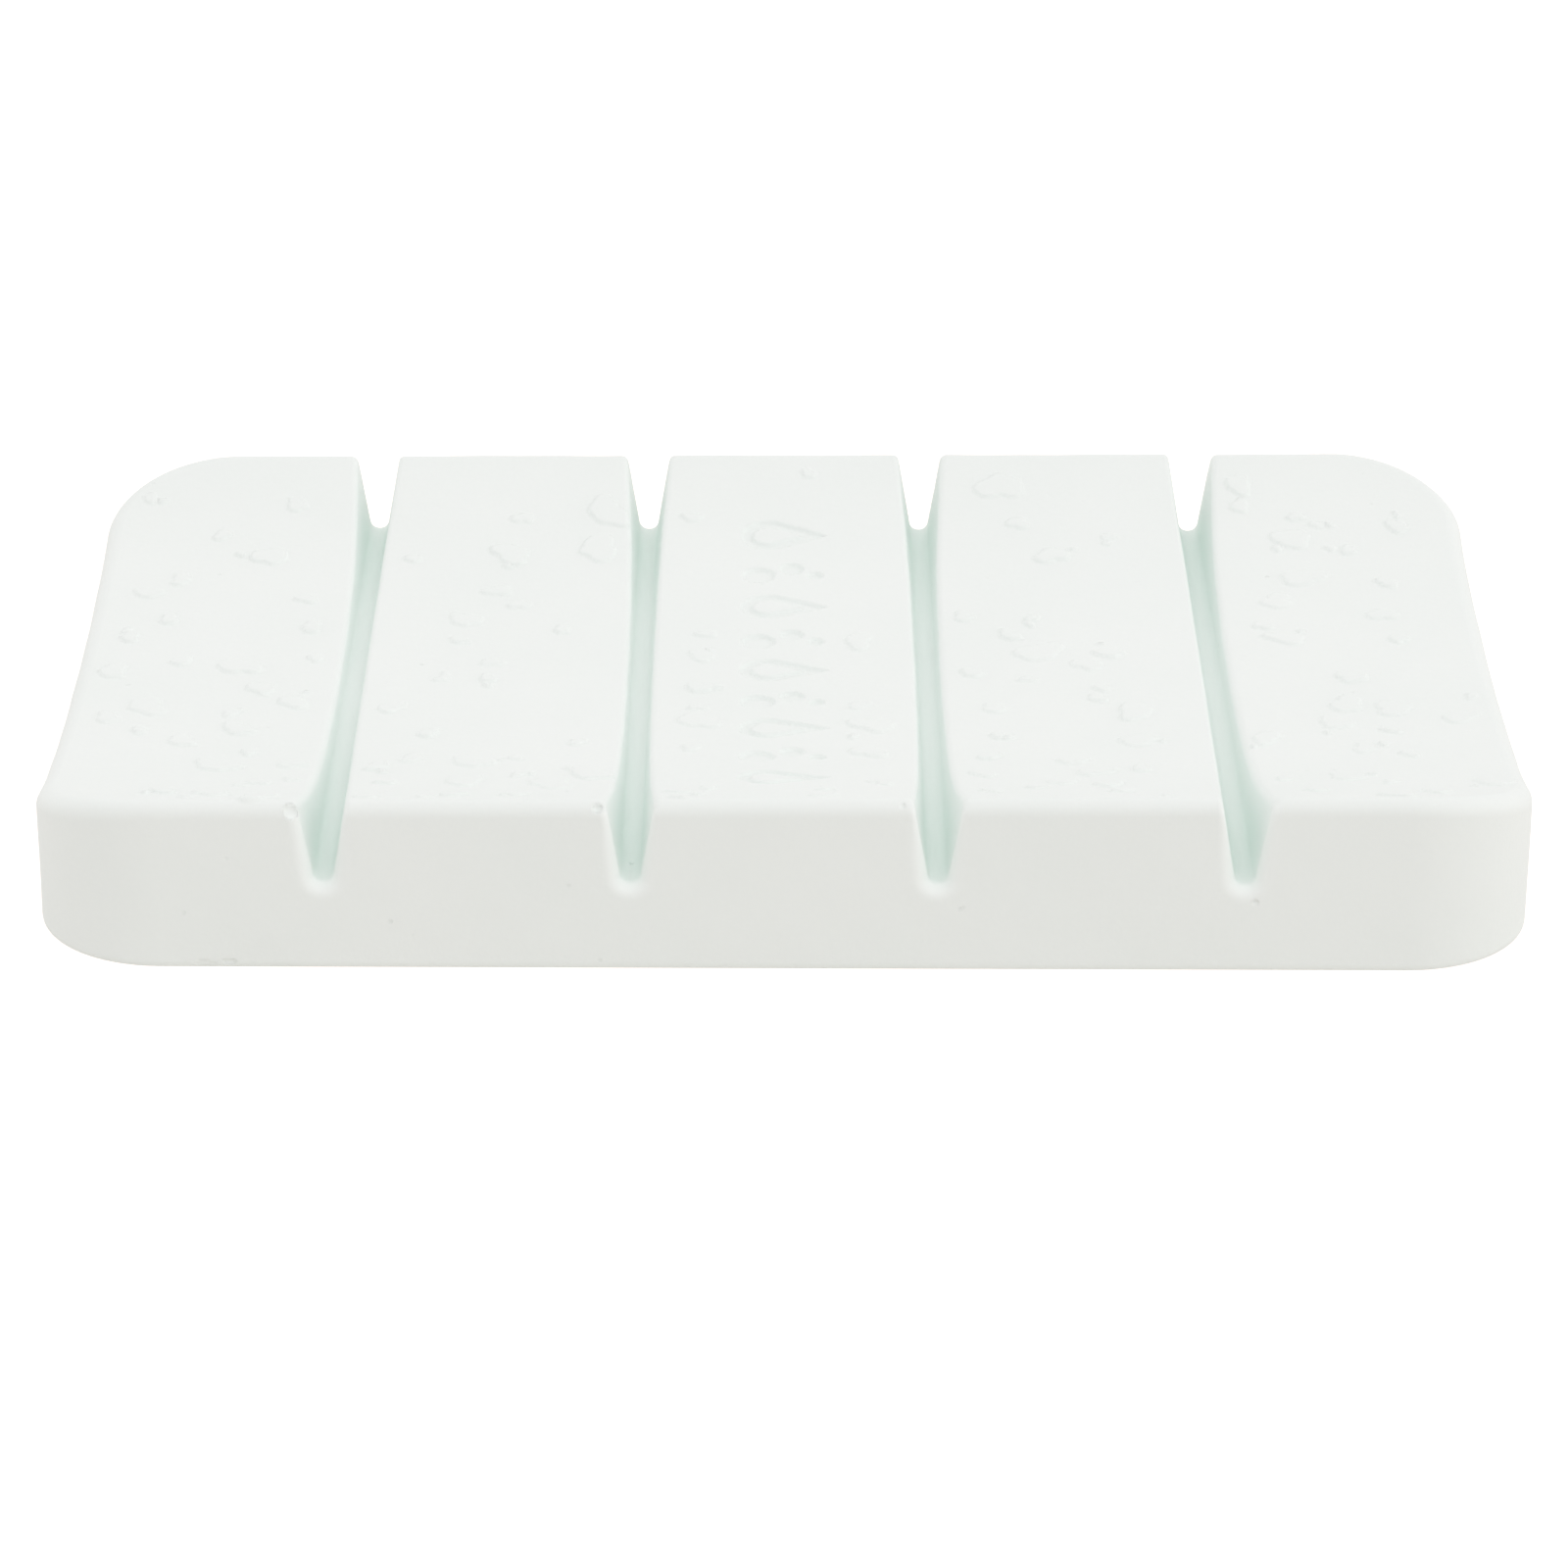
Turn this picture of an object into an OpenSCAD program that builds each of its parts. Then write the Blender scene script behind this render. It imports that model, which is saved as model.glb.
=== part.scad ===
// Dished soap rest: one cast mineral block with drain grooves, on four let-in soft pads.
// X runs along the block and across its ribs, Y runs along the grooves, Z is up.
// The origin is under the middle of the block, on the plane that the pads stand on.

/* [Block] */
// Length of the block, across the ribs
block_l = 130; // [122:1:140]
// Depth of the block, along the grooves
block_d = 86; // [80:1:92]
// Height of the block alone, at its front and rear rims
block_h = 16.2; // [15.4:0.1:19]
// Radius of the four upright corners
corner_r = 11.4; // [8:0.2:14]
// Radius of the rounded edge around the underside
base_edge_r = 0.8; // [0.4:0.1:1.4]

/* [Dished top] */
// How far the middle of the top lies below the rims
dish_sag = 5.8; // [4.5:0.1:6.4]
// Radius of the nearly level middle stretch
dish_mid_r = 260; // [220:5:400]
// Share of the depth that the nearly level stretch takes
dish_mid_share = 0.5; // [0.4:0.05:0.6]

/* [Drain grooves] */
// Number of grooves
groove_n = 4; // [2:1:4]
// Distance from one groove to the next
groove_pitch = 26.3; // [24:0.1:28]
// Height of the level groove floors above the underside of the block
groove_floor_h = 8; // [7:0.1:8.6]
// Radius of the rounded groove floor
groove_floor_r = 0.9; // [0.8:0.1:1.4]
// Lean of each groove wall, in degrees from upright
groove_lean = 10; // [6:1:14]

/* [Sunk marks] */
// Number of marks in the row on the middle rib
mark_n = 9; // [5:2:9]
// Distance from one mark to the next
mark_pitch = 7.3; // [7:0.1:7.8]
// Radius of the round end of a drop
drop_r = 2.5; // [2:0.1:2.8]
// Length of a drop from its round end to its tip
drop_l = 8; // [7:0.1:9]
// Width of the sunk line that draws a drop
line_w = 1; // [0.6:0.1:1.2]
// Depth of the marks
mark_depth = 0.35; // [0.3:0.05:0.8]

/* [Pads] */
// Diameter of a pad
pad_d = 10; // [8:0.5:12]
// Thickness of a pad
pad_t = 1.8; // [1.5:0.1:2.2]
// How far a pad stands below the block
pad_proud = 0.5; // [0.3:0.1:1]
// Radius of the rounded lower edge of a pad
pad_edge_r = 0.35; // [0.2:0.05:0.45]
// Distance from the block's sides to the middle of a pad
pad_inset = 17; // [14:0.5:20]
// Thickness of the adhesive film above a pad
adhesive_t = 0.2; // [0.1:0.05:0.3]
// Gap all round a pad in its pocket
pocket_gap = 0.2; // [0.1:0.05:0.4]

/* [Hidden] */

// Facets of ordinary rounds, and of the two large dish arcs.
round_fn = 64;
dish_fn = 720;
// Extra length that a cutter runs past the face it cuts.
over = 5;
// A straight flank starts at this share of the radius of the round it leaves, just inside it.
flank_start = 0.99;

block_bottom = pad_proud;
rim_z = block_bottom + block_h;
// The block before it is dished stands taller than the rims, so the dish cut shapes them.
slab_h = block_h + 2;
dish_low_z = rim_z - dish_sag;
pocket_depth = pad_t + adhesive_t - pad_proud;

// The dish section is three arcs that meet without a corner: a flat middle arc and, on each side,
// a tighter arc that ends on the rim. The join is where the middle arc gives way.
dish_mid_z = dish_low_z + dish_mid_r;
join_angle = asin(dish_mid_share * block_d / 2 / dish_mid_r);
join = [dish_mid_r * sin(join_angle), dish_mid_z - dish_mid_r * cos(join_angle)];
join_normal = [-sin(join_angle), cos(join_angle)];
to_rim = [block_d / 2, rim_z] - join;
rim_arc_r = (to_rim * to_rim) / (2 * to_rim * join_normal);
rim_arc_centre = join + rim_arc_r * join_normal;
wedge_foot = join - over * join_normal;

groove_floor_z = block_bottom + groove_floor_h;
groove_xs = [for (i = [0 : groove_n - 1]) (i - (groove_n - 1) / 2) * groove_pitch];

mark_ys = [for (i = [0 : mark_n - 1]) ((mark_n - 1) / 2 - i) * mark_pitch];
drop_tip = drop_l - drop_r;

pad_x = block_l / 2 - pad_inset;
pad_y = block_d / 2 - pad_inset;

// Extrudes a Y-Z section along X, centred.
module along_x(length) {
    rotate([90, 0, 90]) linear_extrude(length, center = true) children();
}

// Extrudes an X-Z section along Y, centred.
module along_y(length) {
    rotate([90, 0, 0]) linear_extrude(length, center = true) children();
}

// Upright section of the block before it is dished, with its two lower corners rounded.
module slab_section(width) {
    translate([-width / 2, base_edge_r]) square([width, slab_h - base_edge_r]);
    translate([-width / 2 + base_edge_r, 0]) square([width - 2 * base_edge_r, slab_h]);
    for (side = [-1, 1])
        translate([side * (width / 2 - base_edge_r), base_edge_r]) circle(base_edge_r, $fn = round_fn);
}

// One upright corner, turned from the outer half of the same section.
module slab_corner() {
    rotate_extrude($fn = round_fn)
        intersection() {
            slab_section(2 * corner_r);
            square([corner_r, slab_h]);
        }
}

// The whole block before it is dished.
module slab() {
    translate([0, 0, block_bottom]) {
        along_x(block_l - 2 * corner_r) slab_section(block_d);
        along_y(block_d - 2 * corner_r) slab_section(block_l);
        for (sx = [-1, 1], sy = [-1, 1])
            translate([sx * (block_l / 2 - corner_r), sy * (block_d / 2 - corner_r)]) slab_corner();
    }
}

// Everything above the dished surface, as a Y-Z section. A wedge keeps the middle arc between
// the two joins.
module dish_section() {
    intersection() {
        translate([0, dish_mid_z]) circle(dish_mid_r, $fn = dish_fn);
        polygon([[0, dish_mid_z], [-wedge_foot[0], wedge_foot[1]], wedge_foot]);
    }
    for (side = [-1, 1])
        translate([side * rim_arc_centre[0], rim_arc_centre[1]]) circle(rim_arc_r, $fn = dish_fn);
}

module dish_cutter() {
    along_x(block_l + 2 * over) dish_section();
}

// One groove as an X-Z section: a rounded floor and two walls that lean apart.
module groove_section() {
    centre = [0, groove_floor_z + groove_floor_r];
    foot = centre + flank_start * groove_floor_r * [cos(groove_lean), -sin(groove_lean)];
    top_z = rim_z + over;
    top_x = foot[0] + (top_z - foot[1]) * tan(groove_lean);
    translate(centre) circle(groove_floor_r, $fn = round_fn);
    polygon([[-foot[0], foot[1]], foot, [top_x, top_z], [-top_x, top_z]]);
}

// A drop with its tip towards +X. Its flanks start just inside the round end.
module drop(r) {
    tip_angle = asin(drop_r / drop_tip);
    shoulder = flank_start * r * [sin(tip_angle), cos(tip_angle)];
    circle(r, $fn = round_fn);
    polygon([[0, 0], [shoulder[0], -shoulder[1]], [r / sin(tip_angle), 0], shoulder]);
}

module drop_mark() {
    translate([drop_r - drop_l / 2, 0])
        difference() {
            drop(drop_r);
            drop(drop_r - line_w);
        }
}

// Three dots that shrink as they rise, like bubbles.
module bubble_mark() {
    for (dot = [[-2.4, -0.5, 1.5], [0.7, 0.9, 1.05], [2.9, -0.6, 0.7]])
        translate([dot[0], dot[1]]) circle(dot[2], $fn = round_fn);
}

// The row of marks, sunk to an even depth under the dished surface.
module mark_cutter() {
    intersection() {
        translate([0, 0, dish_low_z - over])
            linear_extrude(dish_sag + 2 * over)
                for (i = [0 : mark_n - 1])
                    translate([0, mark_ys[i]])
                        if (i % 2 == 0) drop_mark(); else bubble_mark();
        translate([0, 0, -mark_depth]) dish_cutter();
    }
}

module pocket_cutter() {
    translate([0, 0, block_bottom - over])
        cylinder(h = pocket_depth + over, d = pad_d + 2 * pocket_gap, $fn = round_fn);
}

module dish_block() {
    color([0.90, 0.95, 0.93])
        difference() {
            slab();
            dish_cutter();
            for (x = groove_xs) translate([x, 0]) along_y(block_d + 2 * over) groove_section();
            mark_cutter();
            for (sx = [-1, 1], sy = [-1, 1]) translate([sx * pad_x, sy * pad_y]) pocket_cutter();
        }
}

// A flat soft disc with a rounded lower edge.
module foot_pad(sx, sy) {
    color([0.80, 0.83, 0.82])
        translate([sx * pad_x, sy * pad_y])
            rotate_extrude($fn = round_fn) {
                translate([0, pad_edge_r]) square([pad_d / 2, pad_t - pad_edge_r]);
                square([pad_d / 2 - pad_edge_r, pad_t]);
                translate([pad_d / 2 - pad_edge_r, pad_edge_r]) circle(pad_edge_r, $fn = round_fn);
            }
}

module adhesive(sx, sy) {
    color([0.93, 0.88, 0.66])
        translate([sx * pad_x, sy * pad_y, pad_t])
            cylinder(h = adhesive_t, d = pad_d - pocket_gap, $fn = round_fn);
}

dish_block();
foot_pad(-1, -1);  // foot_pad_front_left
foot_pad(1, -1);  // foot_pad_front_right
foot_pad(-1, 1);  // foot_pad_rear_left
foot_pad(1, 1);  // foot_pad_rear_right
adhesive(-1, -1);  // adhesive_front_left
adhesive(1, -1);  // adhesive_front_right
adhesive(-1, 1);  // adhesive_rear_left
adhesive(1, 1);  // adhesive_rear_right
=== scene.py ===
"""A dished, grooved soap rest in pale cast mineral, standing on four let-in silicone pads."""
import math

import bpy
import numpy as np
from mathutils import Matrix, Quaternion, Vector


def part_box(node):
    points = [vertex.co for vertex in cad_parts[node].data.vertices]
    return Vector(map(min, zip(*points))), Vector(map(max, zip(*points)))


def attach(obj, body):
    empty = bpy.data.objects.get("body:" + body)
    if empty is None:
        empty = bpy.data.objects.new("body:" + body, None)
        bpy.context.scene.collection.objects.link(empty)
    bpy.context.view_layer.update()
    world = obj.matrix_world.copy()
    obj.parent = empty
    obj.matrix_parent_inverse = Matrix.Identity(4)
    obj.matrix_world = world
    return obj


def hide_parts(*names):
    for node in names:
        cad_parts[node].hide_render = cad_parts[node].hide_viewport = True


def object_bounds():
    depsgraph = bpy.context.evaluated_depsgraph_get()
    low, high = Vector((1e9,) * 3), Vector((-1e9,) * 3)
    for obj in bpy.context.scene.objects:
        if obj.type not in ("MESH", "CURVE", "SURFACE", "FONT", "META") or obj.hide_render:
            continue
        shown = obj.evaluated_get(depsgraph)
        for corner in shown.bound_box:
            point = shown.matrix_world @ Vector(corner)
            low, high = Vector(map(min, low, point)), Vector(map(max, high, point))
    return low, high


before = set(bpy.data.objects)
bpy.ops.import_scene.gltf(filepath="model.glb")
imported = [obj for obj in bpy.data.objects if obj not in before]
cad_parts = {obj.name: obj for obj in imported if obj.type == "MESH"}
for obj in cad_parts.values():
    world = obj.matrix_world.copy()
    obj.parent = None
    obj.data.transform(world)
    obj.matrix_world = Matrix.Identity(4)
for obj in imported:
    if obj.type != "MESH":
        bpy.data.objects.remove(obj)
cad_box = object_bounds()

# ---------------------------------------------------------------------------------------------
# Sizes. The block's field is worked out in millimetres; meshes are scaled to metres at the end.
# ---------------------------------------------------------------------------------------------
MM = 0.001
block_low, block_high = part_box("dish_block")
LENGTH = (block_high.x - block_low.x) / MM
DEPTH = (block_high.y - block_low.y) / MM
UNDER_Z = block_low.z / MM
RIM_Z = block_high.z / MM

CORNER_R = 11.4
BASE_EDGE_R = 0.8
RIM_EDGE_R = 1.2
SIDE_RIM_EDGE_R = 1.65
PIT_EDGE_R = 0.06
TOP_TILT = 0.006
SIDE_DRAFT = 0.01
WAVER = 0.02

DISH_SAG = 5.8
DISH_MID_R = 260.0
DISH_MID_SHARE = 0.5

GROOVE_COUNT = 4
GROOVE_PITCH = 26.3
GROOVE_FLOOR_H = 8.0
GROOVE_FLOOR_R = 0.9
GROOVE_LEAN = math.radians(10)
LIP_R = 0.4
SOFT_LIP_R = 0.5
END_LIP_R = (0.55, 0.8)
MOUTH_R = 1.3

MARK_COUNT = 9
MARK_PITCH = 7.3
DROP_R = 2.5
DROP_L = 8.0
LINE_W = 1.0
MARK_DEPTH = 0.35
BUBBLES = ((-2.4, -0.5, 1.5), (0.7, 0.9, 1.05), (2.9, -0.6, 0.7))

DROPLET_SEED = 11
DROPLET_HEIGHT = (0.2, 0.3)
DROPLET_FLANK = 0.2
# Top area for each droplet, in square millimetres, on the outer ribs and on the marked middle rib.
OUTER_RIB_SHARE = 62
MIDDLE_RIB_SHARE = 95
RELIEF_STEP = 0.1

NET_STEP = 0.3
BLOCK_TRIANGLES = 190000

DISH_LOW_Z = RIM_Z - DISH_SAG
GROOVE_CENTRE_Z = UNDER_Z + GROOVE_FLOOR_H + GROOVE_FLOOR_R
GROOVE_XS = [(i - (GROOVE_COUNT - 1) / 2) * GROOVE_PITCH for i in range(GROOVE_COUNT)]

# The dish is three arcs that meet without a corner: a flat middle arc, and a tighter one each side.
MID_CENTRE_Z = DISH_LOW_Z + DISH_MID_R
JOIN_ANGLE = math.asin(DISH_MID_SHARE * DEPTH / 2 / DISH_MID_R)
JOIN = np.array([DISH_MID_R * math.sin(JOIN_ANGLE), MID_CENTRE_Z - DISH_MID_R * math.cos(JOIN_ANGLE)])
JOIN_NORMAL = np.array([-math.sin(JOIN_ANGLE), math.cos(JOIN_ANGLE)])
TO_RIM = np.array([DEPTH / 2, RIM_Z]) - JOIN
SIDE_R = float(TO_RIM @ TO_RIM / (2 * TO_RIM @ JOIN_NORMAL))
SIDE_CENTRE = JOIN + SIDE_R * JOIN_NORMAL


# ---------------------------------------------------------------------------------------------
# The block as a field: negative inside the casting, zero on its surface, in millimetres.
# ---------------------------------------------------------------------------------------------
def smooth_step(value, start, end):
    """0 before start, 1 after end, and an even S-curve between them."""
    t = np.clip((value - start) / (end - start), 0, 1)
    return t * t * (3 - 2 * t)


def rounded_meet(a, b, r, cosine=0.0):
    """What is inside both fields, with the edge between them rounded to radius r.

    cosine is that of the angle between the two outward directions."""
    u = a + r
    v = b + r
    round_edge = np.sqrt((u * u + v * v - 2 * cosine * u * v) / (1 - cosine * cosine)) - r
    at_edge = (u > cosine * v) & (v > cosine * u)
    return np.where(at_edge, round_edge, np.maximum(a, b))


def outline_offsets(x, y):
    """How far a point lies past the straight part of each side."""
    return np.abs(x) - (LENGTH / 2 - CORNER_R), np.abs(y) - (DEPTH / 2 - CORNER_R)


def outline_field(x, y):
    """The plan outline: a rectangle with round corners."""
    out_x, out_y = outline_offsets(x, y)
    corner = np.hypot(np.maximum(out_x, 0), np.maximum(out_y, 0))
    return corner + np.minimum(np.maximum(out_x, out_y), 0) - CORNER_R


def turn_to_side(x, y):
    """0 along the front and rear, 1 along the two ends, and in between round the corners."""
    out_x, out_y = outline_offsets(x, y)
    reach = np.hypot(np.maximum(out_x, 0), np.maximum(out_y, 0))
    return np.clip(np.maximum(out_x, 0) / np.maximum(reach, 1e-6), 0, 1)


def dish_side(y, z):
    """True where the tighter side arcs shape the dish."""
    return np.abs(y) * math.cos(JOIN_ANGLE) > (MID_CENTRE_Z - z) * math.sin(JOIN_ANGLE)


def dish_field(y, z):
    """Positive above the dished top, negative below it."""
    y = np.abs(y)
    middle = DISH_MID_R - np.hypot(y, MID_CENTRE_Z - z)
    side = SIDE_R - np.hypot(y - SIDE_CENTRE[0], SIDE_CENTRE[1] - z)
    return np.where(dish_side(y, z), side, middle)


def dish_slope(y, z):
    """The sine of the dish's slope, which is steepest at the rims."""
    y = np.abs(y)
    return np.where(dish_side(y, z), (y - SIDE_CENTRE[0]) / SIDE_R, y / DISH_MID_R)


def nearest_groove(x):
    """The x of the middle of the nearest groove."""
    step = np.round(x / GROOVE_PITCH - 0.5) + 0.5
    return GROOVE_PITCH * np.clip(step, -(GROOVE_COUNT - 1) / 2, (GROOVE_COUNT - 1) / 2)


def groove_field(x, z):
    """Positive inside the nearest groove's air, negative in the material beside it."""
    u = np.abs(x - nearest_groove(x))
    v = z - GROOVE_CENTRE_Z
    floor = GROOVE_FLOOR_R - np.hypot(u, v)
    wall = GROOVE_FLOOR_R - (u * math.cos(GROOVE_LEAN) - v * math.sin(GROOVE_LEAN))
    on_wall = u * math.sin(GROOVE_LEAN) + v * math.cos(GROOVE_LEAN) > 0
    return np.where(on_wall, wall, floor)


def lip_radius(x, y, z):
    """Lips away from the middle are softer, most of all on the end ribs; mouths soften downwards."""
    groove_x = nearest_groove(x)
    outward = smooth_step((x - groove_x) * np.sign(groove_x), -1, 1)
    end_lip = END_LIP_R[0] + (END_LIP_R[1] - END_LIP_R[0]) * smooth_step(-y, -5, 35)
    soft = np.where(np.abs(groove_x) > GROOVE_PITCH, end_lip, SOFT_LIP_R)
    lip = LIP_R + (soft - LIP_R) * outward
    at_face = smooth_step(np.abs(y), DEPTH / 2 - 2.5, DEPTH / 2 - 0.5)
    down_mouth = smooth_step(RIM_Z - z, 0, RIM_Z - UNDER_Z - GROOVE_FLOOR_H)
    return lip + (MOUTH_R - lip) * at_face * down_mouth


def drop_distance(u, v, r):
    """Distance outside a drop whose tip points along +u."""
    tip_angle = math.asin(DROP_R / (DROP_L - DROP_R))
    v = np.abs(v)
    flank = u * math.sin(tip_angle) + v * math.cos(tip_angle) - r
    beside_flank = u * math.cos(tip_angle) - v * math.sin(tip_angle) > 0
    return np.where(beside_flank, flank, np.hypot(u, v) - r)


def mark_distance(x, y):
    """Distance outside the row of sunk marks: drops drawn in outline, with bubbles between them."""
    distance = np.full(np.broadcast(x, y).shape, 99.0)
    for i in range(MARK_COUNT):
        v = y - ((MARK_COUNT - 1) / 2 - i) * MARK_PITCH
        if i % 2 == 0:
            u = x - (DROP_R - DROP_L / 2)
            outer = drop_distance(u, v, DROP_R)
            inner = drop_distance(u, v, DROP_R - LINE_W)
            distance = np.minimum(distance, np.maximum(outer, -inner))
        else:
            for bubble_x, bubble_y, bubble_r in BUBBLES:
                distance = np.minimum(distance, np.hypot(x - bubble_x, v - bubble_y) - bubble_r)
    return distance


def rib_spans():
    """The x range of each rib's top, between the groove lips."""
    lip_x = 2.6
    starts = [-LENGTH / 2] + [x + lip_x for x in GROOVE_XS]
    ends = [x - lip_x for x in GROOVE_XS] + [LENGTH / 2]
    return list(zip(starts, ends))


def droplet_places(rng):
    """Centre and size of each raised droplet: crowded towards the front, clear of the marks."""
    droplets = []
    for start, end in rib_spans():
        area_share = OUTER_RIB_SHARE if start * end > 0 else MIDDLE_RIB_SHARE
        wanted = int((end - start) * DEPTH / area_share)
        tries = 0
        while wanted > 0 and tries < 4000:
            tries += 1
            x = rng.uniform(start + 0.8, end - 0.8)
            y = rng.uniform(-DEPTH / 2 + 1.2, DEPTH / 2 - 1.5)
            size = 0.75 + 1.25 * rng.random() ** 1.5
            if rng.random() > 0.62 - 0.38 * y / (DEPTH / 2):
                continue
            if outline_field(x, y) > -size - 1.6 or abs(x) < 5.2 + size and abs(y) < 34:
                continue
            if any(math.hypot(x - a, y - b) < size + c + 0.5 for a, b, c in droplets):
                continue
            droplets.append((x, y, size))
            wanted -= 1
    return droplets


def raise_droplet(relief, xs, ys, rng, x, y, size):
    """Adds one flat-topped droplet with a wandering edge to the relief map."""
    stretch = rng.uniform(0.8, 1.35)
    turn = rng.normal(0, 0.5)
    height = rng.uniform(*DROPLET_HEIGHT)
    phases = rng.uniform(0, 2 * math.pi, 3)
    reach = size * stretch * 1.5
    i = slice(np.searchsorted(xs, x - reach), np.searchsorted(xs, x + reach))
    j = slice(np.searchsorted(ys, y - reach), np.searchsorted(ys, y + reach))
    dx = xs[i][:, None] - x
    dy = ys[j][None, :] - y
    across = dx * math.cos(turn) + dy * math.sin(turn)
    along = (dy * math.cos(turn) - dx * math.sin(turn)) / stretch
    angle = np.arctan2(along, across)
    edge = size * (1 + 0.17 * np.cos(2 * angle + phases[0]) + 0.12 * np.cos(3 * angle + phases[1])
                   + 0.06 * np.cos(5 * angle + phases[2]))
    inset = edge - np.hypot(across, along)
    relief[i, j] = np.maximum(relief[i, j], height * smooth_step(inset, 0, DROPLET_FLANK))


def soften(values):
    """Blurs a map a little by averaging each sample with its neighbours."""
    for axis in (0, 1):
        values = values / 2 + (np.roll(values, 1, axis) + np.roll(values, -1, axis)) / 4
    return values


def make_relief():
    """Height of the droplets, less the depth of the marks, over the whole top."""
    rng = np.random.default_rng(DROPLET_SEED)
    xs = np.arange(-LENGTH / 2 - 1, LENGTH / 2 + 1, RELIEF_STEP)
    ys = np.arange(-DEPTH / 2 - 1, DEPTH / 2 + 1, RELIEF_STEP)
    relief = np.zeros((len(xs), len(ys)))
    for x, y, size in droplet_places(rng):
        raise_droplet(relief, xs, ys, rng, x, y, size)
        if rng.random() < 0.25:
            bearing = rng.uniform(0, 2 * math.pi)
            away = size * rng.uniform(1.3, 1.9)
            raise_droplet(relief, xs, ys, rng, x + away * math.cos(bearing),
                          y + away * math.sin(bearing), rng.uniform(0.35, 0.6))
    grid_x = xs[:, None]
    grid_y = ys[None, :]
    relief *= smooth_step(-outline_field(grid_x, grid_y), 0.3, 1.2)
    relief -= MARK_DEPTH * smooth_step(-mark_distance(grid_x, grid_y), -0.1, 0.14)
    return xs, ys, soften(relief)


RELIEF_XS, RELIEF_YS, RELIEF = make_relief()


def relief_at(x, y):
    """The relief map, read between its samples."""
    u = np.clip((x - RELIEF_XS[0]) / RELIEF_STEP, 0, len(RELIEF_XS) - 1.001)
    v = np.clip((y - RELIEF_YS[0]) / RELIEF_STEP, 0, len(RELIEF_YS) - 1.001)
    i = u.astype(int)
    j = v.astype(int)
    u = u - i
    v = v - j
    near = RELIEF[i, j] * (1 - u) + RELIEF[i + 1, j] * u
    far = RELIEF[i, j + 1] * (1 - u) + RELIEF[i + 1, j + 1] * u
    return near * (1 - v) + far * v


def cast_waver(x, y, z):
    """The slight unevenness of a hand-poured casting."""
    broad = np.sin(0.31 * x + 0.9 * np.sin(0.17 * y)) * np.sin(0.27 * y + 1.3 * z / 8 + 0.4)
    return WAVER * (broad + 0.5 * np.sin(0.83 * x - 0.61 * y + 0.7 * z))


def pit_places():
    """Centre, half length and radius of each casting flaw near the front face."""
    front = -DEPTH / 2
    pits = [
        (-41.8, front + 0.1, RIM_Z - 1.2, 0.0, 0.85),
        (-15.9, front + 0.25, RIM_Z - 0.9, 0.0, 0.48),
        (10.1, front + 0.4, RIM_Z - 0.65, 0.0, 0.26),
        (40.35, front, UNDER_Z + 6.65, 0.0, 0.28),
        (10.6, front, UNDER_Z + 1.8, 0.5, 0.12),
        (GROOVE_XS[1], front + 4.8, UNDER_Z + GROOVE_FLOOR_H, 0.0, 0.2),
    ]
    rng = np.random.default_rng(DROPLET_SEED + 1)
    for start, end, count in ((-51, -46, 7), (55.5, 57, 2)):
        for x in rng.uniform(start, end, count):
            z = UNDER_Z + rng.uniform(0.35, 0.75)
            half = rng.uniform(0.1, 0.45)
            pits.append((x, front + 0.05, z, half, rng.uniform(0.18, 0.28)))
    return pits


PITS = pit_places()
PADS = [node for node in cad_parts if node.startswith("foot_pad")]
FILMS = [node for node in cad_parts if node.startswith("adhesive")]
POCKET_GAP = 0.2
POCKET_CHAMFER = (0.3, 0.35)


def pocket_field(x, y, z):
    """Positive inside the nearest pad pocket's air. Its mouth spreads at the underside."""
    low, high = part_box(PADS[0])
    centre = np.abs([(low.x + high.x) / 2 / MM, (low.y + high.y) / 2 / MM])
    radius = (high.x - low.x) / 2 / MM + POCKET_GAP
    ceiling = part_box(FILMS[0])[1].z / MM
    wall = radius - np.hypot(np.abs(x) - centre[0], np.abs(y) - centre[1])
    mouth = POCKET_CHAMFER[0] * smooth_step(UNDER_Z + POCKET_CHAMFER[1] - z, 0, POCKET_CHAMFER[1])
    return np.minimum(wall + mouth, ceiling - z)


def side_field(x, y, z):
    """Positive outside the upright sides, which spread a little towards the rims."""
    return outline_field(x, y) + SIDE_DRAFT * (RIM_Z - z)


def mouth_highlight_mask(x, y, z):
    """Mask of the painted highlight: 1 on the rounded edges of the groove mouths, fading to 0 beside them.
    """
    radius = lip_radius(x, y, z)
    at_side = smooth_step(side_field(x, y, z), -0.95 * radius, -0.55 * radius)
    at_groove = smooth_step(groove_field(x, z), -1.2 * radius, -0.25 * radius)
    return at_side * at_groove


def block_field(x, y, z):
    """The whole casting."""
    outline = side_field(x, y, z)
    top = dish_field(y, z - TOP_TILT * x - relief_at(x, y))
    turn = turn_to_side(x, y)
    rim_r = RIM_EDGE_R + (SIDE_RIM_EDGE_R - RIM_EDGE_R) * turn
    body = rounded_meet(outline, top, rim_r, -dish_slope(y, z) * np.sqrt(1 - turn * turn))
    body = rounded_meet(body, groove_field(x, z), lip_radius(x, y, z))
    body = rounded_meet(body, UNDER_Z - z, BASE_EDGE_R)
    for pit_x, pit_y, pit_z, half, pit_r in PITS:
        along = np.maximum(np.abs(x - pit_x) - half, 0)
        pit = pit_r - np.sqrt(along ** 2 + (y - pit_y) ** 2 + (z - pit_z) ** 2)
        body = rounded_meet(body, pit, PIT_EDGE_R)
    body = np.maximum(body, pocket_field(x, y, z))
    return body + cast_waver(x, y, z) * smooth_step(z, UNDER_Z + 0.5, UNDER_Z + 3)


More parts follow.
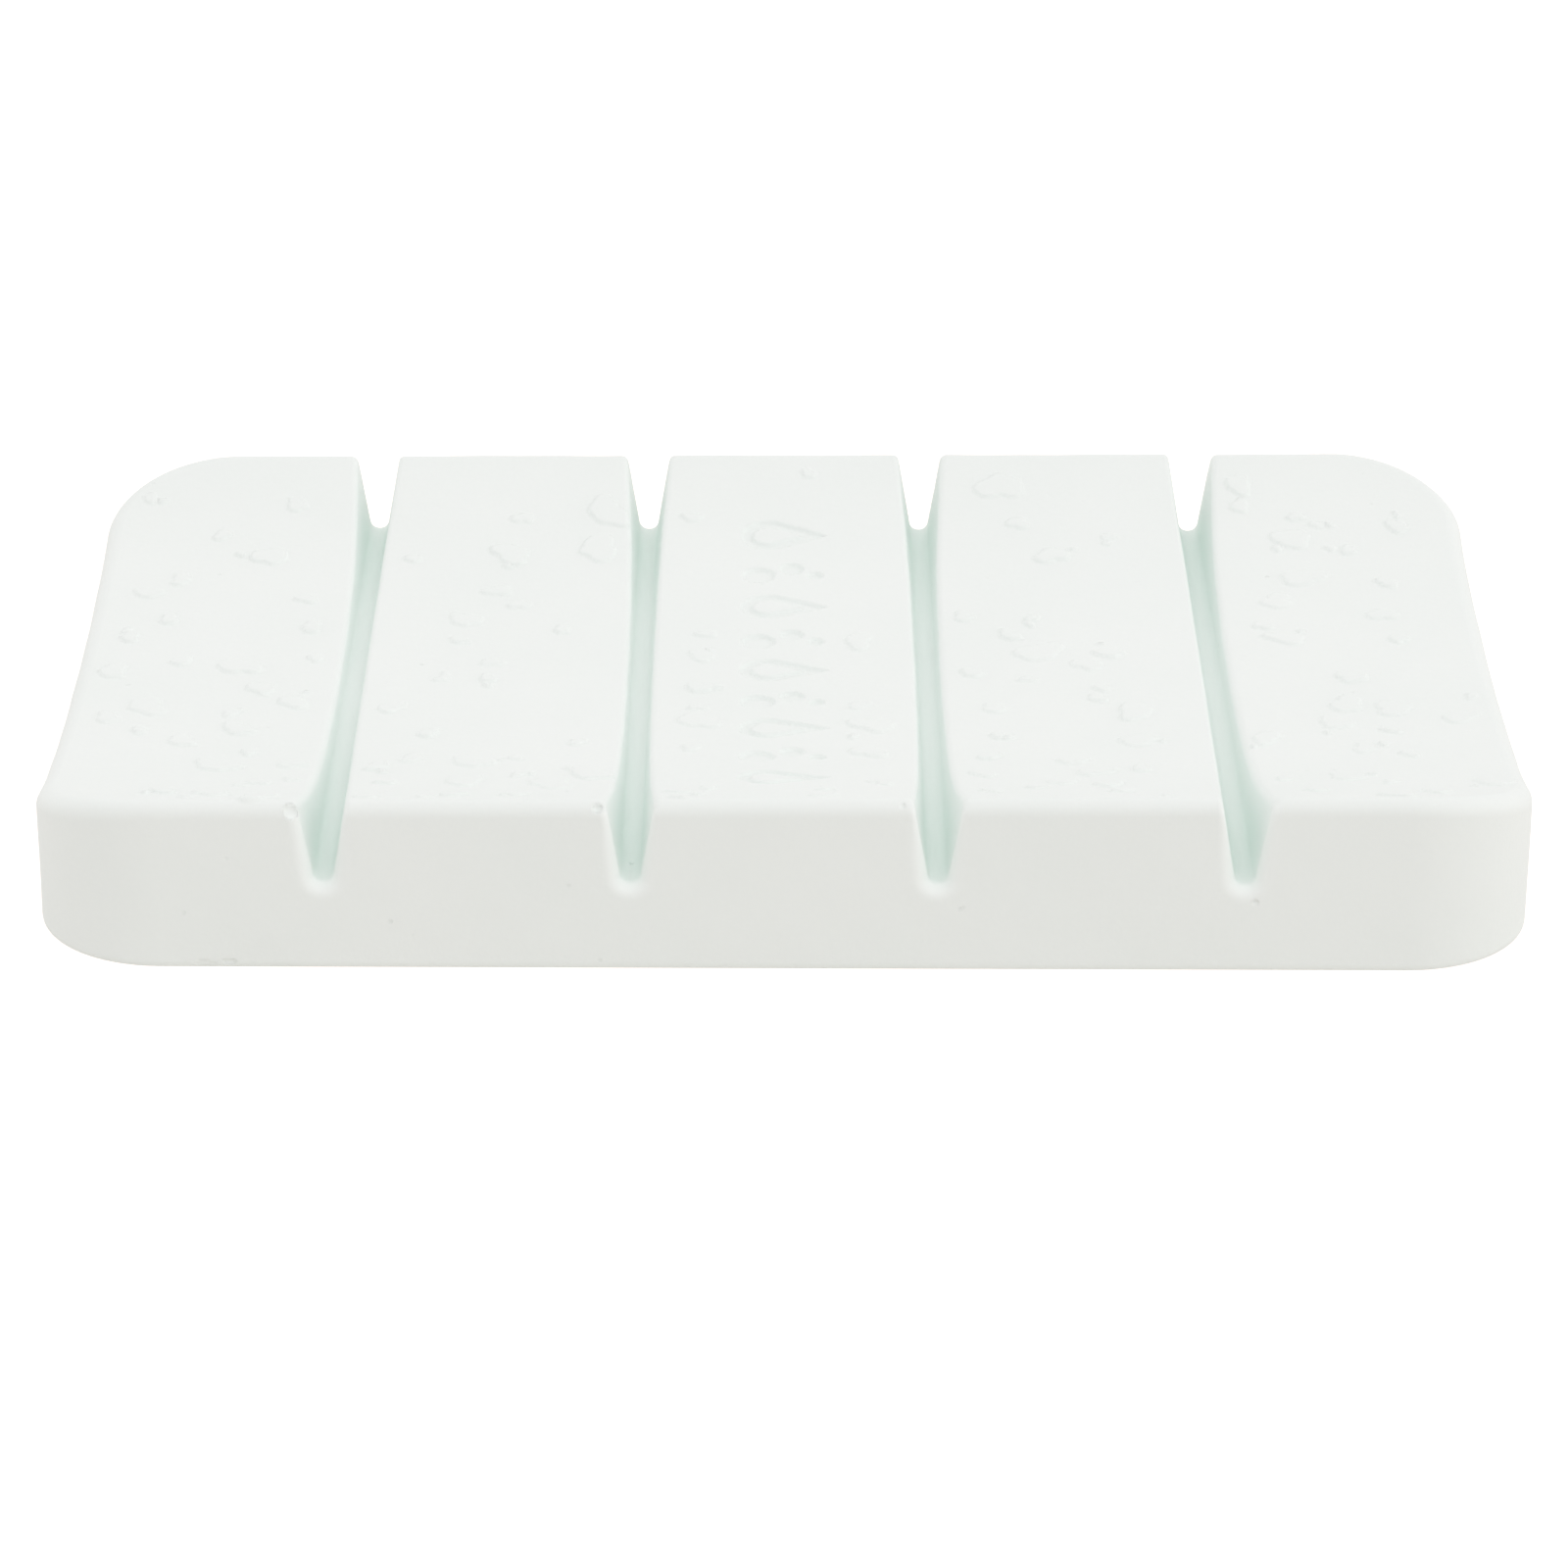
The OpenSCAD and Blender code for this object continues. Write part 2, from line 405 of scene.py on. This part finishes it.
# ---------------------------------------------------------------------------------------------
# From field to mesh.
# ---------------------------------------------------------------------------------------------
def grid_lines(half_span, step):
    """Evenly spaced sample places that reach past both ends of a centred span."""
    count = int(math.ceil(half_span / step)) + 2
    return np.arange(-count, count + 1) * step + step / 2


def surface_net(values, axes):
    """Points and quads where values cross zero: one point per crossed cell, one quad per crossed edge."""
    below = values < 0
    cell_shape = tuple(n - 1 for n in values.shape)
    corners = np.zeros(cell_shape, np.int8)
    for i in (0, 1):
        for j in (0, 1):
            for k in (0, 1):
                corners += below[i:cell_shape[0] + i, j:cell_shape[1] + j, k:cell_shape[2] + k]
    crossed = (corners > 0) & (corners < 8)
    index = np.full(cell_shape, -1)
    index[crossed] = np.arange(crossed.sum())
    total = int(crossed.sum())
    sums = np.zeros((total, 3))
    counts = np.zeros(total)
    quads = []
    for axis in range(3):
        near = [slice(None)] * 3
        far = [slice(None)] * 3
        near[axis] = slice(None, -1)
        far[axis] = slice(1, None)
        low, high = values[tuple(near)], values[tuple(far)]
        place = np.array(np.nonzero((low < 0) != (high < 0)))
        low, high = low[tuple(place)], high[tuple(place)]
        point = np.array([axes[a][place[a]] for a in range(3)])
        step = axes[axis][place[axis] + 1] - axes[axis][place[axis]]
        point[axis] += step * low / (low - high)
        second, third = (axis + 1) % 3, (axis + 2) % 3
        ring = []
        for back_second, back_third in ((0, 0), (1, 0), (1, 1), (0, 1)):
            cell = place.copy()
            cell[second] -= back_second
            cell[third] -= back_third
            owner = index[tuple(cell)]
            ring.append(owner)
            counts += np.bincount(owner, minlength=total)
            for a in range(3):
                sums[:, a] += np.bincount(owner, point[a], minlength=total)
        ring = np.array(ring).T
        flipped = low > 0
        ring[flipped] = ring[flipped][:, ::-1]
        quads.append(ring)
    return sums / counts[:, None], np.concatenate(quads)


def slope_at(field, points, reach=0.02):
    """The field's gradient, by central differences."""
    slope = np.empty_like(points)
    for axis in range(3):
        step = np.zeros(3)
        step[axis] = reach
        slope[:, axis] = (field(*(points + step).T) - field(*(points - step).T)) / (2 * reach)
    return slope


def settle(field, points, rounds, longest=0.15):
    """Moves points along the gradient until they lie on the surface."""
    for _ in range(rounds):
        slope = slope_at(field, points)
        size = np.maximum((slope ** 2).sum(1), 0.05)
        move = np.clip(field(*points.T) / size, -longest, longest)
        points = points - slope * move[:, None]
    return points


def even_out(points, quads):
    """Draws each point halfway to the middle of its neighbours, so the quads grow even."""
    pairs = np.concatenate([quads[:, [i, (i + 1) % 4]] for i in range(4)])
    pairs = np.concatenate([pairs, pairs[:, ::-1]])
    degree = np.bincount(pairs[:, 0], minlength=len(points))
    sums = [np.bincount(pairs[:, 0], points[pairs[:, 1], a], minlength=len(points)) for a in range(3)]
    middle = np.stack(sums, 1) / degree[:, None]
    return points / 2 + middle / 2


def mesh_from(name, points, faces):
    """A smooth-shaded mesh from lists of points and faces."""
    mesh = bpy.data.meshes.new(name)
    mesh.from_pydata(points, [], faces)
    mesh.polygons.foreach_set("use_smooth", np.ones(len(mesh.polygons), bool))
    mesh.update()
    return mesh


def thinned(mesh, triangles):
    """The mesh brought down to about that many triangles, keeping most where it curves most."""
    holder = bpy.data.objects.new("thinning", mesh)
    bpy.context.scene.collection.objects.link(holder)
    thin = holder.modifiers.new("thin", "DECIMATE")
    thin.ratio = min(1.0, triangles / (2 * len(mesh.polygons)))
    graph = bpy.context.evaluated_depsgraph_get()
    result = bpy.data.meshes.new_from_object(holder.evaluated_get(graph))
    bpy.data.objects.remove(holder)
    return result


def points_of(mesh):
    """The mesh's points as an array of rows."""
    flat = np.empty(len(mesh.vertices) * 3)
    mesh.vertices.foreach_get("co", flat)
    return flat.reshape(-1, 3)


def put_points(mesh, points):
    """Moves the mesh's points to the rows of an array."""
    mesh.vertices.foreach_set("co", points.astype(np.float32).ravel())
    mesh.update()


def piece(name, mesh, slot, *nodes):
    """A new visible object that rides on the only body and stands for CAD nodes."""
    result = bpy.data.objects.new(name, mesh)
    bpy.context.scene.collection.objects.link(result)
    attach(result, "root")
    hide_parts(*nodes)
    return result


def build_block():
    """The casting, as a mesh whose points and normals both come from the field."""
    xs = grid_lines(LENGTH / 2, NET_STEP)
    ys = grid_lines(DEPTH / 2, NET_STEP)
    zs = np.arange(UNDER_Z - 2 * NET_STEP, RIM_Z + 3 * NET_STEP, NET_STEP) + NET_STEP / 3
    grid = np.broadcast_arrays(xs[:, None, None], ys[None, :, None], zs[None, None, :])
    points, quads = surface_net(block_field(*grid), (xs, ys, zs))
    points = settle(block_field, points, 2)
    points = settle(block_field, even_out(points, quads), 2)
    full = mesh_from("dish_block_full", points.tolist(), quads.tolist())
    mesh = thinned(full, BLOCK_TRIANGLES)
    points = settle(block_field, points_of(mesh), 1, 0.03)
    slope = slope_at(block_field, points, 0.04)
    normals = slope / np.linalg.norm(slope, axis=1)[:, None]
    put_points(mesh, points * MM)
    # The mouth mask is stored on the mesh so the shader can paint a highlight on the groove mouths.
    edge = mesh.attributes.new("mouth_highlight_mask", "FLOAT", "POINT")
    edge.data.foreach_set("value", mouth_highlight_mask(*points.T))
    mesh.normals_split_custom_set_from_vertices(normals.tolist())
    return piece("mineral_block", mesh, "cast_mineral", "dish_block")


def lathe(name, profile, centre, segments=96):
    """Turns a (radius, height) profile, in metres, about an upright line through centre."""
    points = []
    faces = []
    turns = [2 * math.pi * i / segments for i in range(segments)]
    for radius, height in profile[1:-1]:
        points += [(centre.x + radius * math.cos(t), centre.y + radius * math.sin(t), height) for t in turns]
    rings = len(profile) - 2
    first_pole = len(points)
    points += [(centre.x, centre.y, profile[0][1]), (centre.x, centre.y, profile[-1][1])]
    for i in range(segments):
        after = (i + 1) % segments
        faces.append((first_pole, after, i))
        for ring in range(rings - 1):
            row = ring * segments
            faces.append((row + i, row + after, row + segments + after, row + segments + i))
        last = (rings - 1) * segments
        faces.append((last + i, last + after, first_pole + 1))
    return mesh_from(name, points, faces)


def quarter_turn(steps, first=0):
    """Angles from first/steps of a quarter turn up to the whole of it, in radians."""
    return [math.pi / 2 * i / steps for i in range(first, steps + 1)]


def build_pad(node):
    """A pad with fine grip rings underneath and a rounded rim."""
    low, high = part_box(node)
    centre = (low + high) / 2
    radius = (high.x - low.x) / 2
    ring_count = 5
    ring_depth = 0.12 * MM
    ring_steps = 60
    rim_r = 0.35 * MM
    top_r = 0.15 * MM
    flat_r = radius - rim_r
    profile = [(0, low.z)]
    for i in range(1, ring_steps + 1):
        share = i / ring_steps
        wave = 0.5 - 0.5 * math.cos(2 * math.pi * ring_count * share)
        profile.append((flat_r * share, low.z + ring_depth * wave))
    for turn in quarter_turn(8, 1):
        profile.append((flat_r + rim_r * math.sin(turn), low.z + rim_r * (1 - math.cos(turn))))
    for turn in quarter_turn(6):
        profile.append((radius - top_r * (1 - math.cos(turn)), high.z - top_r * (1 - math.sin(turn))))
    profile.append((0, high.z))
    return piece(node + "_silicone", lathe(node, profile, centre), "pad_silicone", node)


# ---------------------------------------------------------------------------------------------
# Materials.
# ---------------------------------------------------------------------------------------------
class Tree:
    """A small helper that adds nodes to a material or a world and joins them."""

    def __init__(self, owner, coordinates="Generated"):
        owner.use_nodes = True
        self.tree = owner.node_tree
        self.place = self.add("ShaderNodeTexCoord").outputs[coordinates]

    def add(self, kind, inputs=None, **settings):
        """A new node with its settings made and its inputs joined."""
        node = self.tree.nodes.new(kind)
        for key, value in settings.items():
            setattr(node, key, value)
        for key, value in (inputs or {}).items():
            self.join(value, node.inputs[key])
        return node

    def join(self, value, socket):
        """Links an output to the socket, or sets a plain value on it."""
        if isinstance(value, bpy.types.NodeSocket):
            self.tree.links.new(value, socket)
        else:
            socket.default_value = value

    def noise(self, feature, detail=2.0, roughness=0.5):
        """Noise whose features are about that size, in metres."""
        inputs = {"Vector": self.place, "Scale": 1 / feature, "Detail": detail, "Roughness": roughness}
        return self.add("ShaderNodeTexNoise", inputs).outputs["Fac"]

    def spread(self, value, low, high, out_low=0.0, out_high=1.0):
        """value mapped from low..high to out_low..out_high, held at the ends."""
        inputs = {"Value": value, "From Min": low, "From Max": high, "To Min": out_low, "To Max": out_high}
        return self.add("ShaderNodeMapRange", inputs).outputs["Result"]

    def mix(self, share, first, second):
        """The first colour, with that share of the second mixed in."""
        node = self.add("ShaderNodeMix", data_type="RGBA")
        for value, socket in ((share, node.inputs[0]), (first, node.inputs[6]), (second, node.inputs[7])):
            self.join(value, socket)
        return node.outputs[2]

    def bump(self, height, depth, normal=None):
        """Bump of that depth in metres."""
        inputs = {"Height": height, "Distance": depth, "Strength": 1.0}
        if normal is not None:
            inputs["Normal"] = normal
        return self.add("ShaderNodeBump", inputs).outputs["Normal"]

    def math(self, operation, *values):
        """The result of one arithmetic node."""
        return self.add("ShaderNodeMath", dict(enumerate(values)), operation=operation).outputs[0]


class Shader(Tree):
    """The tree of a new material, placed by the object's own metres."""

    def __init__(self, name):
        self.material = bpy.data.materials.new(name)
        super().__init__(self.material, "Object")
        self.surface = self.tree.nodes["Principled BSDF"]


def cast_mineral():
    """Pale mint diatomite: chalky, faintly mottled, with fine grain and pin-holes; painted shade darkens the
    pin-holes and a painted highlight lightens the groove mouths.
    """
    s = Shader("cast_mineral")
    mottle = s.spread(s.noise(0.014, 3.0), 0.35, 0.65)
    cloud = s.mix(mottle, (0.832, 0.908, 0.875, 1), (0.842, 0.915, 0.883, 1))
    grain = s.noise(0.0005, 3.0, 0.7)
    grained = s.mix(s.spread(grain, 0.3, 0.7, 0.0, 0.05), cloud, (0.70, 0.77, 0.74, 1))
    cells = s.add("ShaderNodeTexVoronoi", {"Vector": s.place, "Scale": 420.0, "Randomness": 1.0})
    sparse = s.spread(s.noise(0.006, 1.0), 0.64, 0.72)
    hole = s.math("MULTIPLY", s.spread(cells.outputs["Distance"], 0.05, 0.11, 1.0, 0.0), sparse)
    # Painted shade: the pin-holes are real pits in the bump, and their colour is darkened for the shade
    # inside them.
    pit_shaded = s.mix(s.math("MULTIPLY", hole, 0.15), grained, (0.42, 0.50, 0.46, 1))
    # Painted highlight: the rounded edges of the groove mouths are lightened in colour.
    edge = s.add("ShaderNodeAttribute", attribute_name="mouth_highlight_mask").outputs["Fac"]
    rim_highlighted = s.mix(s.math("MULTIPLY", edge, 0.8), pit_shaded, (0.895, 0.970, 0.940, 1))
    s.join(rim_highlighted, s.surface.inputs["Base Color"])
    s.join(s.spread(grain, 0.3, 0.7, 0.55, 0.7), s.surface.inputs["Roughness"])
    s.join(0.4, s.surface.inputs["Specular IOR Level"])
    fine = s.bump(grain, 0.02 * MM)
    coarse = s.bump(s.noise(0.0022, 2.0), 0.03 * MM, fine)
    pitted = s.bump(s.math("SUBTRACT", 1.0, hole), 0.06 * MM, coarse)
    s.join(pitted, s.surface.inputs["Normal"])
    return s.material


def pad_silicone():
    """Milky soft silicone with a faint moulded grain."""
    s = Shader("pad_silicone")
    cloud = s.spread(s.noise(0.0018, 3.0), 0.3, 0.7)
    s.join(s.mix(cloud, (0.62, 0.66, 0.65, 1), (0.72, 0.75, 0.74, 1)), s.surface.inputs["Base Color"])
    s.join(s.spread(s.noise(0.0006, 2.0), 0.3, 0.7, 0.38, 0.55), s.surface.inputs["Roughness"])
    s.join(0.25, s.surface.inputs["Subsurface Weight"])
    s.join(0.0015, s.surface.inputs["Subsurface Scale"])
    s.join(s.bump(s.noise(0.00025, 2.0), 0.01 * MM), s.surface.inputs["Normal"])
    return s.material


def adhesive_film():
    """Thin honey-coloured sticky film with small trapped bubbles."""
    s = Shader("adhesive_film")
    cells = s.add("ShaderNodeTexVoronoi", {"Vector": s.place, "Scale": 900.0})
    bubble = s.spread(cells.outputs["Distance"], 0.08, 0.2, 1.0, 0.0)
    film = s.mix(s.spread(s.noise(0.003, 3.0), 0.3, 0.7), (0.78, 0.66, 0.36, 1), (0.85, 0.76, 0.5, 1))
    s.join(s.mix(bubble, film, (0.9, 0.86, 0.74, 1)), s.surface.inputs["Base Color"])
    s.join(s.spread(bubble, 0.0, 1.0, 0.25, 0.5), s.surface.inputs["Roughness"])
    s.join(s.bump(bubble, 0.02 * MM), s.surface.inputs["Normal"])
    return s.material


def floor_paper():
    """White translucent sheet with a faint tooth, lit from below like a light table."""
    s = Shader("floor_paper")
    tooth = s.noise(0.0012, 2.0)
    s.join(s.mix(tooth, (0.34, 0.335, 0.33, 1), (0.36, 0.355, 0.35, 1)), s.surface.inputs["Base Color"])
    s.join(1.0, s.surface.inputs["Roughness"])
    s.join(0.0, s.surface.inputs["Specular IOR Level"])
    s.join((1.1, 1.0, 0.955, 1), s.surface.inputs["Emission Color"])
    seen = s.add("ShaderNodeLightPath").outputs["Is Camera Ray"]
    s.join(s.spread(seen, 0, 1, 0.48, 0.95), s.surface.inputs["Emission Strength"])
    return s.material


# ---------------------------------------------------------------------------------------------
# Stage, light and camera, placed from the object's box.
# ---------------------------------------------------------------------------------------------
PANEL_FOCUS = 7.0
TENT_COLOUR = (1.016, 0.957, 0.968, 1)
# For each height above level: the panels' bearings from the camera's side towards the right, and
# their brightnesses.
TENT_PANELS = {
    90: ((0, 1.1),),
    45: ((0, 0.6), (45, 0.55), (90, 0.2), (180, 0.35), (-90, 0.4)),
    12: ((45, 0.85), (90, 0.95), (135, 0.9), (180, 0.5), (-135, 1.1), (-90, 0.7), (-45, 0.6)),
}

LENS = 145.9
SENSOR = 36
PITCH = math.radians(23.418)
YAW = math.radians(0.117)
ROLL = math.radians(0.245)
# In lengths of the object: how far in front of its middle the camera aims, and from how far away.
AIM_FORWARD = 0.157
CAMERA_DISTANCE = 4.338


def build_floor(size):
    """A flat sheet that reaches far past the frame."""
    half = 30 * size
    corners = [(-half, -half, 0), (half, -half, 0), (half, half, 0), (-half, half, 0)]
    floor = bpy.data.objects.new("floor", mesh_from("floor", corners, [(0, 1, 2, 3)]))
    bpy.context.scene.collection.objects.link(floor)
    floor.data.materials.append(floor_paper())


def direction(bearing, height):
    """Unit vector: bearing in degrees from the camera's side towards the right, height above level."""
    bearing = math.radians(bearing)
    height = math.radians(height)
    return (math.sin(bearing) * math.cos(height), -math.cos(bearing) * math.cos(height), math.sin(height))


def build_light():
    """A white tent with soft panels: each glows brightest in its own direction and fades round it."""
    world = bpy.data.worlds.new("studio")
    s = Tree(world)
    panels = [(bearing, height, b) for height, ring in TENT_PANELS.items() for bearing, b in ring]
    glow = 0.0
    for bearing, height, brightness in panels:
        inputs = {0: s.place, 1: direction(bearing, height)}
        facing = s.add("ShaderNodeVectorMath", inputs, operation="DOT_PRODUCT").outputs["Value"]
        fade = s.math("EXPONENT", s.math("MULTIPLY", s.math("SUBTRACT", facing, 1.0), PANEL_FOCUS))
        glow = s.math("ADD", glow, s.math("MULTIPLY", fade, brightness))
    backdrop = s.tree.nodes["Background"]
    s.join(TENT_COLOUR, backdrop.inputs["Color"])
    s.join(glow, backdrop.inputs["Strength"])
    bpy.context.scene.world = world
    bpy.context.scene.cycles.diffuse_bounces = 12


def build_camera(size, middle):
    """A long lens, a little above the front, aimed somewhat in front of the block."""
    camera = bpy.data.objects.new("camera", bpy.data.cameras.new("camera"))
    camera.data.lens = LENS
    camera.data.sensor_width = SENSOR
    ahead = Vector((math.sin(YAW) * math.cos(PITCH), math.cos(YAW) * math.cos(PITCH), -math.sin(PITCH)))
    aim = middle + Vector((0, -AIM_FORWARD, 0)) * size
    camera.location = aim - CAMERA_DISTANCE * size * ahead
    turn = ahead.to_track_quat("-Z", "Y") @ Quaternion((0, 0, 1), ROLL)
    camera.rotation_euler = turn.to_euler()
    bpy.context.scene.collection.objects.link(camera)
    bpy.context.scene.camera = camera


def paint(item, material):
    """Gives an object that one material and no other."""
    item.data.materials.clear()
    item.data.materials.append(material)


def build_pieces():
    """Every visible piece, each with its material."""
    paint(build_block(), cast_mineral())
    silicone = pad_silicone()
    for node in PADS:
        paint(build_pad(node), silicone)
    film = adhesive_film()
    for node in FILMS:
        paint(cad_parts[node], film)


build_pieces()
box_low, box_high = Vector(cad_box[0]), Vector(cad_box[1])
object_length = box_high.x - box_low.x
object_middle = (box_low + box_high) / 2
build_floor(object_length)
build_light()
build_camera(object_length, object_middle)
bpy.context.scene.view_settings.view_transform = "Standard"
